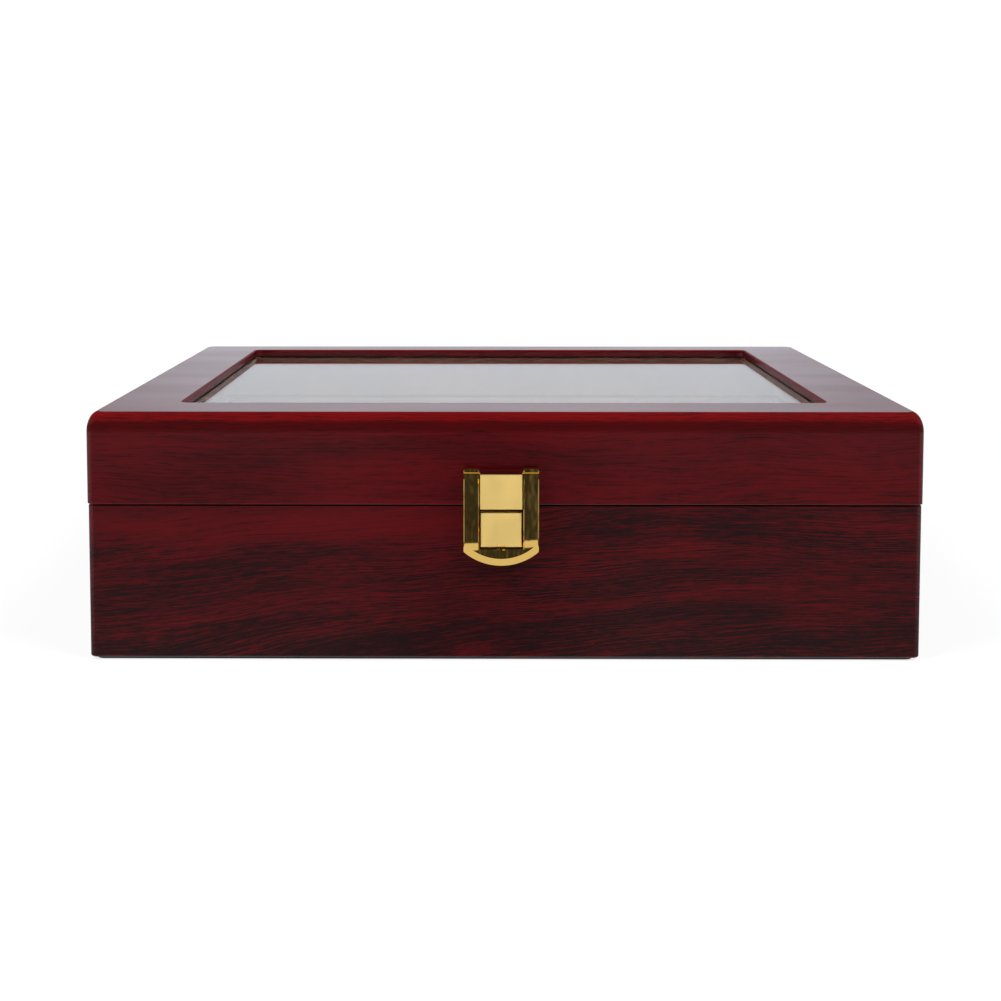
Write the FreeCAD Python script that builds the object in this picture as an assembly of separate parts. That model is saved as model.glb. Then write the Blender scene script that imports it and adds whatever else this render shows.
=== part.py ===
import FreeCAD, Part
import math
import os

from FreeCAD import Vector

# Glazed coin display case with a lift-out coin tray. Millimetres.
# +X is the case's length, -Y its front, +Z up. The origin is the middle of the resting face.

# ---- Case ----
CASE_LENGTH = 300.0
CASE_DEPTH = 245.0
CASE_HEIGHT = 90.0
WALL = 10.0
SEAM_HEIGHT = 56.4
SEAM_GAP = 0.5
LID_OVERHANG = 0.3
UPRIGHT_EDGE_RADIUS = 3.0
TOP_EDGE_INSET = 3.6
TOP_EDGE_DROP = 7.0
TOP_EDGE_SECTIONS = 8
FOOT_EDGE_RADIUS = 0.6
RIM_EDGE_RADIUS = 0.3
FELT_THICKNESS = 1.0
FELT_INSET = 2.0
BOTTOM_PANEL = 4.0

HALF_LENGTH = CASE_LENGTH / 2
HALF_DEPTH = CASE_DEPTH / 2
LID_LENGTH = CASE_LENGTH + 2 * LID_OVERHANG
LID_DEPTH = CASE_DEPTH + 2 * LID_OVERHANG
LID_BOTTOM = SEAM_HEIGHT + SEAM_GAP
PANEL_TOP = FELT_THICKNESS + BOTTOM_PANEL

# ---- Window ----
FRAME_THICKNESS = 10.0
WINDOW_BORDER_SIDE = 29.3
WINDOW_BORDER_FRONT = 28.6
WINDOW_BORDER_REAR = 21.3
WINDOW_CORNER_RADIUS = 3.0
WINDOW_EDGE_RADIUS = 0.8
LIP_THICKNESS = 3.0
REBATE_WIDTH = 6.0
SEAL_THICKNESS = 0.5
SEAL_SETBACK = 0.5
GLASS_THICKNESS = 3.0
GLASS_CLEARANCE = 0.5
BEAD_EDGE_RADIUS = 1.5
PINS_PER_BEAD = 3
BEAD_PIN_RADIUS = 0.5
BEAD_PIN_SHARE = 0.62

FRAME_BOTTOM = CASE_HEIGHT - FRAME_THICKNESS
WINDOW_LENGTH = LID_LENGTH - 2 * WINDOW_BORDER_SIDE
WINDOW_DEPTH = LID_DEPTH - WINDOW_BORDER_FRONT - WINDOW_BORDER_REAR
WINDOW_CENTRE = (WINDOW_BORDER_FRONT - WINDOW_BORDER_REAR) / 2
REBATE_LENGTH = WINDOW_LENGTH + 2 * REBATE_WIDTH
REBATE_DEPTH = WINDOW_DEPTH + 2 * REBATE_WIDTH
LIP_BOTTOM = CASE_HEIGHT - LIP_THICKNESS
GLASS_TOP = LIP_BOTTOM - SEAL_THICKNESS
GLASS_BOTTOM = GLASS_TOP - GLASS_THICKNESS

# ---- Linings ----
LINER = 3.0
LINER_TOP = 62.2
LINER_EDGE_RADIUS = 1.0
FLOOR_LINING = 1.5
LID_LINING = 1.0
LID_LINING_BOTTOM = 63.7

# ---- Coin tray ----
COLUMNS = 5
ROWS = 4
CELL = 50.6
DIVIDER = 2.2
TRAY_END_WALL = 5.1
TRAY_LONG_WALL = 4.0
TRAY_BOTTOM = 39.0
TRAY_HEIGHT = 18.0
TRAY_BOARD = 3.0
TRAY_LINING = 0.8
TRAY_EDGE_RADIUS = 1.0
DIVIDER_DROP = 2.0
DIVIDER_EDGE_RADIUS = 0.8
SLOT_CLEARANCE = 0.1
NOTCH_RADIUS = 12.0
NOTCH_RISE = 2.0
LEDGE_WIDTH = 6.0
LEDGE_HEIGHT = 6.0

TRAY_INNER_LENGTH = COLUMNS * CELL + (COLUMNS - 1) * DIVIDER
TRAY_INNER_DEPTH = ROWS * CELL + (ROWS - 1) * DIVIDER
TRAY_LENGTH = TRAY_INNER_LENGTH + 2 * TRAY_END_WALL
TRAY_DEPTH = TRAY_INNER_DEPTH + 2 * TRAY_LONG_WALL
TRAY_TOP = TRAY_BOTTOM + TRAY_HEIGHT
CELL_FLOOR = TRAY_BOTTOM + TRAY_BOARD + TRAY_LINING
DIVIDER_TOP = TRAY_TOP - DIVIDER_DROP

# ---- Hinges ----
HINGE_OFFSET = 95.0
HINGE_LENGTH = 24.0
KNUCKLES = 5
KNUCKLE_GAP = 0.1
BARREL_RADIUS = 2.0
BARREL_STANDOFF = 0.6
HINGE_PIN_RADIUS = 1.0
PIN_CLEARANCE = 0.06
PIN_HEAD_RADIUS = 1.5
PIN_HEAD = 0.6
LEAF_THICKNESS = 1.0
LEAF_REACH = 7.0
MORTISE_CLEARANCE = 0.1
SCREW_SPACING = 14.0
SCREW_INSET = 3.2
SCREW_HEAD_RADIUS = 1.6
SCREW_HEAD = 0.8
SCREW_RADIUS = 0.8
SCREW_LENGTH = 8.0
SCREW_SLOT_WIDTH = 0.4
SCREW_SLOT_DEPTH = 0.35

HINGE_AXIS_Y = HALF_DEPTH + BARREL_STANDOFF + BARREL_RADIUS
HINGE_AXIS_Z = SEAM_HEIGHT + SEAM_GAP / 2

# ---- Latch: "out" distances run forward from the base's front face ----
LATCH_CENTRE = -1.2
LATCH_AXIS_OUT = 2.5
LATCH_AXIS_Z = 69.0
LATCH_SHEET = 0.7
LATCH_PIN_RADIUS = 0.6
LATCH_PIN_SETBACK = 0.3
LATCH_KNUCKLE_RADIUS = 1.2
PLATE_HALF_WIDTH = 7.5
PLATE_BOTTOM = 55.8
PLATE_EDGE_RADIUS = 0.3
STRAP_BOTTOM = 59.2
NAIL_OFFSET = 4.0
NAIL_HEIGHT = 63.8
NAIL_RADIUS = 0.6
NAIL_HEAD_RADIUS = 1.2
NAIL_HEAD = 0.5
NAIL_LENGTH = 7.0
FLAP_HALF_WIDTH = 13.45
FLAP_WINDOW_HALF_WIDTH = 7.85
FLAP_SHEET = 1.1
FLAP_BACK_OUT = 3.5
FLAP_SHOULDER_Z = 40.5
FLAP_SHOULDER_RADIUS = 1.0
FLAP_BOTTOM_Z = 35.5
FLAP_WINDOW_BOTTOM_Z = 41.6
FLAP_FLANGE = 0.8
FLAP_FLANGE_BACK_OUT = 1.0
FLAP_EDGE_CHAMFER = 0.4
RIM_BEVEL_WIDTH = 2.6
RIM_BEVEL_DEPTH = 0.7
EAR_TOP = 1.8
EAR_ROLL_RADIUS = 1.45
EAR_BOTTOM = 2.1
EAR_BACK = 1.7
EAR_BACK_CORNER = 0.8
EAR_END_CHAMFER = 0.4
CREASE_DEPTH = 0.35
CREASE_FALL = 1.1
NIB_SPACING = 1.8
NIB_WIDTH = 0.9
NIB_HEIGHT = 1.0
NIB_ROOT = 0.5
NIB_SETBACK = 0.3
CATCH_HALF_WIDTH = 7.35
CATCH_BOTTOM = 42.1
CATCH_TOP = 54.5
CATCH_OUT = 3.2
PRONG_OFFSET = 5.0
PRONG_WIDTH = 1.5
PRONG_LENGTH = 6.0

FLAP_FRONT_OUT = FLAP_BACK_OUT + FLAP_SHEET
RAIL_TOP_Z = LATCH_AXIS_Z - CREASE_FALL

SIDES = ("front", "rear", "left", "right")


# ---- Shape helpers ----
def block(x_low, x_high, y_low, y_high, z_low, z_high):
    corner = Vector(x_low, y_low, z_low)
    return Part.makeBox(x_high - x_low, y_high - y_low, z_high - z_low, corner)


def centred_block(length, depth, z_low, z_high, centre_y=0.0):
    y_low = centre_y - depth / 2
    return block(-length / 2, length / 2, y_low, y_low + depth, z_low, z_high)


def rounded_rectangle(length, depth, radius, z, centre_y=0.0):
    """Closed wire with rounded corners, walked anticlockwise from the front edge."""
    edges = []
    reach_x = length / 2 - radius
    reach_y = depth / 2 - radius
    signs = ((1, -1), (1, 1), (-1, 1), (-1, -1))
    centres = [Vector(sx * reach_x, centre_y + sy * reach_y, z) for sx, sy in signs]
    for index, centre in enumerate(centres):
        start_angle = math.radians(90 * index - 90)
        points = []
        for share in (0.0, 0.5, 1.0):
            angle = start_angle + share * math.pi / 2
            points.append(centre + Vector(radius * math.cos(angle), radius * math.sin(angle), 0))
        following = centres[(index + 1) % 4]
        end_angle = start_angle + math.pi / 2
        reach = Vector(radius * math.cos(end_angle), radius * math.sin(end_angle), 0)
        edges.append(Part.Arc(*points).toShape())
        edges.append(Part.LineSegment(points[2], following + reach).toShape())
    return Part.Wire(edges)


def slab(length, depth, radius, z_low, z_high, centre_y=0.0):
    outline = rounded_rectangle(length, depth, radius, z_low, centre_y)
    return Part.Face(outline).extrude(Vector(0, 0, z_high - z_low))


def edges_at_height(shape, z):
    tolerance = 1e-4
    found = []
    for edge in shape.Edges:
        box = edge.BoundBox
        if abs(box.ZMin - z) < tolerance and abs(box.ZMax - z) < tolerance:
            found.append(edge)
    return found


def round_at_height(shape, z, radius):
    return shape.makeFillet(radius, edges_at_height(shape, z))


def mitre_wedge(side, length, depth, centre_y=0.0):
    """Upright prism that holds one side of a frame, cut at 45 degrees through its corners."""
    margin = WALL
    x = length / 2 + margin
    y = depth / 2 + margin
    ridge = length / 2 - depth / 2
    outlines = {
        "front": ((-x, -y), (x, -y), (ridge, 0), (-ridge, 0)),
        "rear": ((x, y), (-x, y), (-ridge, 0), (ridge, 0)),
        "left": ((-x, y), (-x, -y), (-ridge, 0)),
        "right": ((x, -y), (x, y), (ridge, 0)),
    }
    points = [Vector(px, py + centre_y, 0) for px, py in outlines[side]]
    face = Part.Face(Part.makePolygon(points + points[:1]))
    return face.extrude(Vector(0, 0, CASE_HEIGHT + margin))


def cylinder_along_x(radius, x_low, x_high, y, z):
    return Part.makeCylinder(radius, x_high - x_low, Vector(x_low, y, z), Vector(1, 0, 0))


def out(distance):
    """Y position of a point this far in front of the base's front face."""
    return -HALF_DEPTH - distance


def front_block(x_low, x_high, out_low, out_high, z_low, z_high):
    return block(x_low, x_high, out(out_high), out(out_low), z_low, z_high)


def fused(first, others):
    return first.fuse(others).removeSplitter()


# ---- Fasteners ----
def slotted_screw():
    """Countersunk screw with its head's face at the origin, driven towards -Z."""
    tip = 2.0
    outline = [
        Vector(0, 0, 0),
        Vector(SCREW_HEAD_RADIUS, 0, 0),
        Vector(SCREW_RADIUS, 0, -SCREW_HEAD),
        Vector(SCREW_RADIUS, 0, tip - SCREW_LENGTH),
        Vector(0, 0, -SCREW_LENGTH),
        Vector(0, 0, 0),
    ]
    body = Part.Face(Part.makePolygon(outline)).revolve(Vector(0, 0, 0), Vector(0, 0, 1), 360)
    half = SCREW_SLOT_WIDTH / 2
    reach = SCREW_HEAD_RADIUS + 1
    return body.cut(block(-reach, reach, -half, half, -SCREW_SLOT_DEPTH, 1))


def hinge_screw_places():
    y = HALF_DEPTH - SCREW_INSET
    places = []
    for side in (-1, 1):
        for step in (-0.5, 0.5):
            places.append((side * HINGE_OFFSET + step * SCREW_SPACING, y))
    return places


def hinge_base_screws():
    screws = []
    for x, y in hinge_screw_places():
        screws.append(slotted_screw().translate(Vector(x, y, SEAM_HEIGHT)))
    return Part.makeCompound(screws)


def hinge_lid_screws():
    screws = []
    for x, y in hinge_screw_places():
        screw = slotted_screw().rotate(Vector(0, 0, 0), Vector(1, 0, 0), 180)
        screws.append(screw.translate(Vector(x, y, LID_BOTTOM)))
    return Part.makeCompound(screws)


def screw_bores(face_z, direction):
    """Plain bores that the screws fill, heads' faces at face_z."""
    bores = []
    for x, y in hinge_screw_places():
        place = Vector(x, y, face_z)
        axis = Vector(0, 0, direction)
        bores.append(Part.makeCylinder(SCREW_RADIUS, SCREW_LENGTH, place, axis))
        bores.append(Part.makeCone(SCREW_HEAD_RADIUS, SCREW_RADIUS, SCREW_HEAD, place, axis))
    return bores


def latch_nails():
    nails = []
    head_back = LID_OVERHANG + LATCH_SHEET
    for x in (-NAIL_OFFSET, NAIL_OFFSET):
        head_place = Vector(x, out(head_back), NAIL_HEIGHT)
        head = Part.makeCylinder(NAIL_HEAD_RADIUS, NAIL_HEAD, head_place, Vector(0, -1, 0))
        shank = Part.makeCylinder(NAIL_RADIUS, NAIL_LENGTH, head_place, Vector(0, 1, 0))
        nails.append(fused(head, [shank]))
    return Part.makeCompound(nails)


def bead_pins():
    """Small pins driven up through the glazing beads."""
    pins = []
    inset = REBATE_WIDTH * BEAD_PIN_SHARE
    x_reach = WINDOW_LENGTH / 2 + inset
    y_reach = WINDOW_DEPTH / 2 + inset
    for step in range(PINS_PER_BEAD):
        share = (step + 0.5) / PINS_PER_BEAD - 0.5
        along_x = share * WINDOW_LENGTH
        along_y = share * WINDOW_DEPTH + WINDOW_CENTRE
        places = [(along_x, WINDOW_CENTRE - y_reach), (along_x, WINDOW_CENTRE + y_reach)]
        places += [(-x_reach, along_y), (x_reach, along_y)]
        for x, y in places:
            height = GLASS_BOTTOM - FRAME_BOTTOM
            pins.append(Part.makeCylinder(BEAD_PIN_RADIUS, height, Vector(x, y, FRAME_BOTTOM)))
    return Part.makeCompound(pins)


# ---- Base box ----
def base_ring():
    ring = slab(CASE_LENGTH, CASE_DEPTH, UPRIGHT_EDGE_RADIUS, FELT_THICKNESS, SEAM_HEIGHT)
    ring = round_at_height(ring, FELT_THICKNESS, FOOT_EDGE_RADIUS)
    ring = round_at_height(ring, SEAM_HEIGHT, RIM_EDGE_RADIUS)
    inner_length = CASE_LENGTH - 2 * WALL
    inner_depth = CASE_DEPTH - 2 * WALL
    return ring.cut(centred_block(inner_length, inner_depth, 0, CASE_HEIGHT))


def mortises(z_low, z_high):
    pockets = []
    for side in (-1, 1):
        reach = HINGE_LENGTH / 2 + MORTISE_CLEARANCE
        centre = side * HINGE_OFFSET
        y_low = HALF_DEPTH - LEAF_REACH - MORTISE_CLEARANCE
        pockets.append(block(centre - reach, centre + reach, y_low, HALF_DEPTH + 1, z_low, z_high))
    return pockets


def base_wall(side):
    wall = base_ring().common(mitre_wedge(side, CASE_LENGTH, CASE_DEPTH))
    if side == "rear":
        wall = wall.cut(mortises(SEAM_HEIGHT - LEAF_THICKNESS, CASE_HEIGHT))
        wall = wall.cut(screw_bores(SEAM_HEIGHT, -1))
    if side == "front":
        wall = wall.cut([at_latch(prong) for prong in catch_prongs()])
    return wall


def base_bottom_panel():
    return centred_block(CASE_LENGTH - 2 * WALL, CASE_DEPTH - 2 * WALL, FELT_THICKNESS, PANEL_TOP)


def underside_felt():
    length = CASE_LENGTH - 2 * FELT_INSET
    depth = CASE_DEPTH - 2 * FELT_INSET
    return slab(length, depth, UPRIGHT_EDGE_RADIUS, 0, FELT_THICKNESS)


def base_liner(side):
    """Velvet-covered board inside one wall; it stands above the rim and locates the lid."""
    length = CASE_LENGTH - 2 * WALL
    depth = CASE_DEPTH - 2 * WALL
    ring = centred_block(length, depth, PANEL_TOP, LINER_TOP)
    ring = ring.cut(centred_block(length - 2 * LINER, depth - 2 * LINER, 0, CASE_HEIGHT))
    ring = round_at_height(ring, LINER_TOP, LINER_EDGE_RADIUS)
    return ring.common(mitre_wedge(side, length, depth))


def base_floor_lining():
    length = CASE_LENGTH - 2 * (WALL + LINER)
    depth = CASE_DEPTH - 2 * (WALL + LINER)
    return centred_block(length, depth, PANEL_TOP, PANEL_TOP + FLOOR_LINING)


def tray_ledge(side):
    inner = HALF_LENGTH - WALL - LINER
    depth = CASE_DEPTH - 2 * (WALL + LINER)
    ledge = block(inner - LEDGE_WIDTH, inner, -depth / 2, depth / 2,
                  TRAY_BOTTOM - LEDGE_HEIGHT, TRAY_BOTTOM)
    if side == "left":
        ledge = ledge.mirror(Vector(0, 0, 0), Vector(1, 0, 0))
    return ledge


# ---- Lid ----
def lid_block():
    """Outer form of the lid before it is hollowed, its top edge an upright quarter ellipse."""
    shoulder = CASE_HEIGHT - TOP_EDGE_DROP
    lower = slab(LID_LENGTH, LID_DEPTH, UPRIGHT_EDGE_RADIUS, LID_BOTTOM, shoulder)
    lower = round_at_height(lower, LID_BOTTOM, RIM_EDGE_RADIUS)
    sections = []
    for step in range(TOP_EDGE_SECTIONS + 1):
        angle = math.pi / 2 * step / TOP_EDGE_SECTIONS
        inset = TOP_EDGE_INSET * (1 - math.cos(angle))
        z = shoulder + TOP_EDGE_DROP * math.sin(angle)
        length = LID_LENGTH - 2 * inset
        depth = LID_DEPTH - 2 * inset
        sections.append(rounded_rectangle(length, depth, UPRIGHT_EDGE_RADIUS, z))
    upper = Part.makeLoft(sections, True, False)
    return lower.fuse(upper)


def lid_top_frame():
    frame = lid_block().common(centred_block(LID_LENGTH + 2, LID_DEPTH + 2, FRAME_BOTTOM, CASE_HEIGHT))
    window = slab(WINDOW_LENGTH, WINDOW_DEPTH, WINDOW_CORNER_RADIUS, 0, CASE_HEIGHT + 1, WINDOW_CENTRE)
    rebate = slab(REBATE_LENGTH, REBATE_DEPTH, WINDOW_CORNER_RADIUS, 0, LIP_BOTTOM, WINDOW_CENTRE)
    frame = frame.cut([window, rebate]).removeSplitter()
    lip_edges = []
    for edge in edges_at_height(frame, CASE_HEIGHT):
        box = edge.BoundBox
        reach = max(abs(box.XMin), abs(box.XMax))
        if reach < WINDOW_LENGTH / 2 + 0.1:
            lip_edges.append(edge)
    return frame.makeFillet(WINDOW_EDGE_RADIUS, lip_edges)


def lid_wall(side):
    ring = lid_block().common(centred_block(LID_LENGTH + 2, LID_DEPTH + 2, LID_BOTTOM, FRAME_BOTTOM))
    ring = ring.cut(centred_block(LID_LENGTH - 2 * WALL, LID_DEPTH - 2 * WALL, 0, CASE_HEIGHT))
    wall = ring.common(mitre_wedge(side, LID_LENGTH, LID_DEPTH))
    if side == "rear":
        wall = wall.cut(mortises(0, LID_BOTTOM + LEAF_THICKNESS))
        wall = wall.cut(screw_bores(LID_BOTTOM, 1))
    if side == "front":
        wall = wall.cut(at_latch(latch_nails()))
    return wall


def window_seal():
    outer = slab(REBATE_LENGTH, REBATE_DEPTH, WINDOW_CORNER_RADIUS, GLASS_TOP, LIP_BOTTOM, WINDOW_CENTRE)
    length = WINDOW_LENGTH + 2 * SEAL_SETBACK
    depth = WINDOW_DEPTH + 2 * SEAL_SETBACK
    return outer.cut(slab(length, depth, WINDOW_CORNER_RADIUS, 0, CASE_HEIGHT, WINDOW_CENTRE))


def window_glass():
    length = REBATE_LENGTH - 2 * GLASS_CLEARANCE
    depth = REBATE_DEPTH - 2 * GLASS_CLEARANCE
    return slab(length, depth, WINDOW_CORNER_RADIUS, GLASS_BOTTOM, GLASS_TOP, WINDOW_CENTRE)


def glazing_bead(side):
    """Strip that holds the glass up in its rebate, with its inner lower edge rounded over."""
    outer = slab(REBATE_LENGTH, REBATE_DEPTH, WINDOW_CORNER_RADIUS, FRAME_BOTTOM, GLASS_BOTTOM,
                 WINDOW_CENTRE)
    inner = centred_block(WINDOW_LENGTH, WINDOW_DEPTH, 0, CASE_HEIGHT, WINDOW_CENTRE)
    ring = outer.cut(inner)
    inner_edges = []
    for edge in edges_at_height(ring, FRAME_BOTTOM):
        box = edge.BoundBox
        is_inside_x = max(abs(box.XMin), abs(box.XMax)) < WINDOW_LENGTH / 2 + 0.1
        y_reach = max(abs(box.YMin - WINDOW_CENTRE), abs(box.YMax - WINDOW_CENTRE))
        if is_inside_x and y_reach < WINDOW_DEPTH / 2 + 0.1:
            inner_edges.append(edge)
    ring = ring.makeFillet(BEAD_EDGE_RADIUS, inner_edges)
    bead = ring.common(mitre_wedge(side, WINDOW_LENGTH, WINDOW_DEPTH, WINDOW_CENTRE))
    return bead.cut(bead_pins())


def lid_lining(side):
    length = LID_LENGTH - 2 * WALL
    depth = LID_DEPTH - 2 * WALL
    ring = centred_block(length, depth, LID_LINING_BOTTOM, FRAME_BOTTOM)
    ring = ring.cut(centred_block(length - 2 * LID_LINING, depth - 2 * LID_LINING, 0, CASE_HEIGHT))
    return ring.common(mitre_wedge(side, length, depth))


# ---- Hinges ----
def knuckle_span(centre, index):
    pitch = HINGE_LENGTH / KNUCKLES
    start = centre - HINGE_LENGTH / 2 + index * pitch
    return start + KNUCKLE_GAP / 2, start + pitch - KNUCKLE_GAP / 2


def hinge_leaf(centre, first_knuckle, z_low, bores):
    """Leaf let into a rim, with every second knuckle of the barrel from first_knuckle on."""
    z_high = z_low + LEAF_THICKNESS
    reach = HINGE_LENGTH / 2
    y_low = HALF_DEPTH - LEAF_REACH
    plate = block(centre - reach, centre + reach, y_low, HALF_DEPTH, z_low, z_high)
    additions = []
    for index in range(first_knuckle, KNUCKLES, 2):
        x_low, x_high = knuckle_span(centre, index)
        additions.append(block(x_low, x_high, y_low, HINGE_AXIS_Y, z_low, z_high))
        additions.append(cylinder_along_x(BARREL_RADIUS, x_low, x_high, HINGE_AXIS_Y, HINGE_AXIS_Z))
    leaf = fused(plate, additions)
    bore_radius = HINGE_PIN_RADIUS + PIN_CLEARANCE
    bore = cylinder_along_x(bore_radius, centre - reach, centre + reach, HINGE_AXIS_Y, HINGE_AXIS_Z)
    return leaf.cut([bore] + bores)


def hinge_base_leaf(centre):
    return hinge_leaf(centre, 0, SEAM_HEIGHT - LEAF_THICKNESS, screw_bores(SEAM_HEIGHT, -1))


def hinge_lid_leaf(centre):
    return hinge_leaf(centre, 1, LID_BOTTOM, screw_bores(LID_BOTTOM, 1))


def hinge_pin(centre):
    reach = HINGE_LENGTH / 2
    shaft = cylinder_along_x(HINGE_PIN_RADIUS, centre - reach, centre + reach, HINGE_AXIS_Y, HINGE_AXIS_Z)
    heads = []
    for start in (centre - reach - PIN_HEAD, centre + reach):
        head = cylinder_along_x(PIN_HEAD_RADIUS, start, start + PIN_HEAD, HINGE_AXIS_Y, HINGE_AXIS_Z)
        heads.append(head)
    return fused(shaft, heads)


# ---- Latch ----
def at_latch(shape):
    """Moves a latch piece from the middle of the case to the latch's own place."""
    return shape.translated(Vector(LATCH_CENTRE, 0, 0))


def latch_lid_plate():
    """Folded plate: strap nailed to the lid, knuckle at its top, cover square in front."""
    axis_y = out(LATCH_AXIS_OUT)
    cover_front = LATCH_AXIS_OUT + LATCH_KNUCKLE_RADIUS
    half = PLATE_HALF_WIDTH
    cover = front_block(-half, half, cover_front - LATCH_SHEET, cover_front, PLATE_BOTTOM, LATCH_AXIS_Z)
    corners = [edge for edge in cover.Edges if edge.BoundBox.YMax < out(cover_front) + 1e-4]
    corners = [edge for edge in corners if edge.BoundBox.ZMax < LATCH_AXIS_Z]
    cover = cover.makeFillet(PLATE_EDGE_RADIUS, corners)
    knuckle = cylinder_along_x(LATCH_KNUCKLE_RADIUS, -half, half, axis_y, LATCH_AXIS_Z)
    strap_front = LID_OVERHANG + LATCH_SHEET
    strap = front_block(-half, half, LID_OVERHANG, strap_front, STRAP_BOTTOM, LATCH_AXIS_Z)
    web = front_block(-half, half, LID_OVERHANG, LATCH_AXIS_OUT,
                      LATCH_AXIS_Z - LATCH_SHEET, LATCH_AXIS_Z + LATCH_SHEET / 2)
    plate = fused(cover, [knuckle, strap, web])
    pin = cylinder_along_x(LATCH_PIN_RADIUS, -half, half, axis_y, LATCH_AXIS_Z)
    return plate.cut([pin, latch_nails()])


def latch_pin():
    reach = FLAP_HALF_WIDTH - LATCH_PIN_SETBACK
    return cylinder_along_x(LATCH_PIN_RADIUS, -reach, reach, out(LATCH_AXIS_OUT), LATCH_AXIS_Z)


def flap_outline():
    """Flap seen from the front: straight rails, and an arc along the bottom."""
    half = FLAP_HALF_WIDTH
    y = out(FLAP_BACK_OUT)
    left_shoulder = Vector(-half, y, FLAP_SHOULDER_Z)
    right_shoulder = Vector(half, y, FLAP_SHOULDER_Z)
    left_top = Vector(-half, y, RAIL_TOP_Z)
    right_top = Vector(half, y, RAIL_TOP_Z)
    edges = [Part.Arc(left_shoulder, Vector(0, y, FLAP_BOTTOM_Z), right_shoulder).toShape()]
    edges.append(Part.LineSegment(right_shoulder, right_top).toShape())
    edges.append(Part.LineSegment(right_top, left_top).toShape())
    edges.append(Part.LineSegment(left_top, left_shoulder).toShape())
    return Part.Face(Part.Wire(edges))


def is_near(first, second):
    return abs(first - second) < 1e-4


def flap_plate():
    """Sheet of the flap with its window, rounded shoulders and bevelled front edges."""
    plate = flap_outline().extrude(Vector(0, -FLAP_SHEET, 0))
    shoulders = []
    for edge in plate.Edges:
        box = edge.BoundBox
        if is_near(box.ZMin, FLAP_SHOULDER_Z) and is_near(box.ZMax, FLAP_SHOULDER_Z):
            shoulders.append(edge)
    plate = plate.makeFillet(FLAP_SHOULDER_RADIUS, shoulders)
    inner = FLAP_WINDOW_HALF_WIDTH
    window = front_block(-inner, inner, 0, FLAP_FRONT_OUT + 1, FLAP_WINDOW_BOTTOM_Z, CASE_HEIGHT)
    plate = plate.cut(window)
    front_edges = []
    for edge in plate.Edges:
        box = edge.BoundBox
        is_in_front = is_near(box.YMax, out(FLAP_FRONT_OUT))
        is_straight_side = is_near(box.XMin, box.XMax)
        is_window_sill = is_near(box.ZMin, FLAP_WINDOW_BOTTOM_Z) and is_near(box.ZMax, box.ZMin)
        if is_in_front and (is_straight_side or is_window_sill):
            front_edges.append(edge)
    return plate.makeChamfer(FLAP_EDGE_CHAMFER, front_edges)


def flap_rim_bevel():
    """Ring-shaped cutter that slopes the plate's face back to its arc edge."""
    sagitta = FLAP_SHOULDER_Z - FLAP_BOTTOM_Z
    radius = (FLAP_HALF_WIDTH ** 2 + sagitta ** 2) / (2 * sagitta)
    centre_z = FLAP_BOTTOM_Z + radius
    slope = RIM_BEVEL_DEPTH / RIM_BEVEL_WIDTH
    beyond = 3.0
    start = Vector(radius - RIM_BEVEL_WIDTH, out(FLAP_FRONT_OUT), centre_z)
    end = Vector(radius + beyond, out(FLAP_FRONT_OUT - slope * (RIM_BEVEL_WIDTH + beyond)), centre_z)
    outside = Vector(radius + beyond, out(FLAP_FRONT_OUT + 1), centre_z)
    inside = Vector(radius - RIM_BEVEL_WIDTH, out(FLAP_FRONT_OUT + 1), centre_z)
    profile = Part.Face(Part.makePolygon([start, end, outside, inside, start]))
    ring = profile.revolve(Vector(0, 0, centre_z), Vector(0, 1, 0), 360)
    reach = FLAP_HALF_WIDTH + beyond
    return ring.common(front_block(-reach, reach, 0, FLAP_FRONT_OUT + 2, 0, centre_z - radius / 2))


def ear_profile(x):
    """Section of a rail's top end: a roll over the latch pin, and a crease below the roll."""
    front = FLAP_FRONT_OUT
    back = LATCH_AXIS_OUT - EAR_BACK
    axis = LATCH_AXIS_Z
    top = axis + EAR_TOP
    roll = top - EAR_ROLL_RADIUS
    diagonal = EAR_ROLL_RADIUS * math.sqrt(0.5)
    roll_start = Vector(x, out(front), roll)
    roll_middle = Vector(x, out(front - EAR_ROLL_RADIUS + diagonal), roll + diagonal)
    roll_end = Vector(x, out(front - EAR_ROLL_RADIUS), top)
    rest = [
        roll_end,
        Vector(x, out(back + EAR_BACK_CORNER), top),
        Vector(x, out(back), top - EAR_BACK_CORNER),
        Vector(x, out(back), axis - EAR_BOTTOM + EAR_BACK_CORNER),
        Vector(x, out(back + EAR_BACK_CORNER), axis - EAR_BOTTOM),
        Vector(x, out(front), axis - EAR_BOTTOM),
        Vector(x, out(front), RAIL_TOP_Z),
        Vector(x, out(front - CREASE_DEPTH), axis),
        roll_start,
    ]
    edges = [Part.Arc(roll_start, roll_middle, roll_end).toShape()]
    edges += Part.makePolygon(rest).Edges
    return Part.Face(Part.Wire(edges))


def flap_ear():
    """Right rail's top end, with both ends of its roll bevelled."""
    inner = FLAP_WINDOW_HALF_WIDTH
    outer = FLAP_HALF_WIDTH
    ear = ear_profile(inner).extrude(Vector(outer - inner, 0, 0))
    roll_rims = []
    for edge in ear.Edges:
        box = edge.BoundBox
        is_rim = is_near(box.XMin, box.XMax)
        if is_rim and edge.Curve.TypeId == "Part::GeomCircle":
            roll_rims.append(edge)
    return ear.makeChamfer(EAR_END_CHAMFER, roll_rims)


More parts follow.
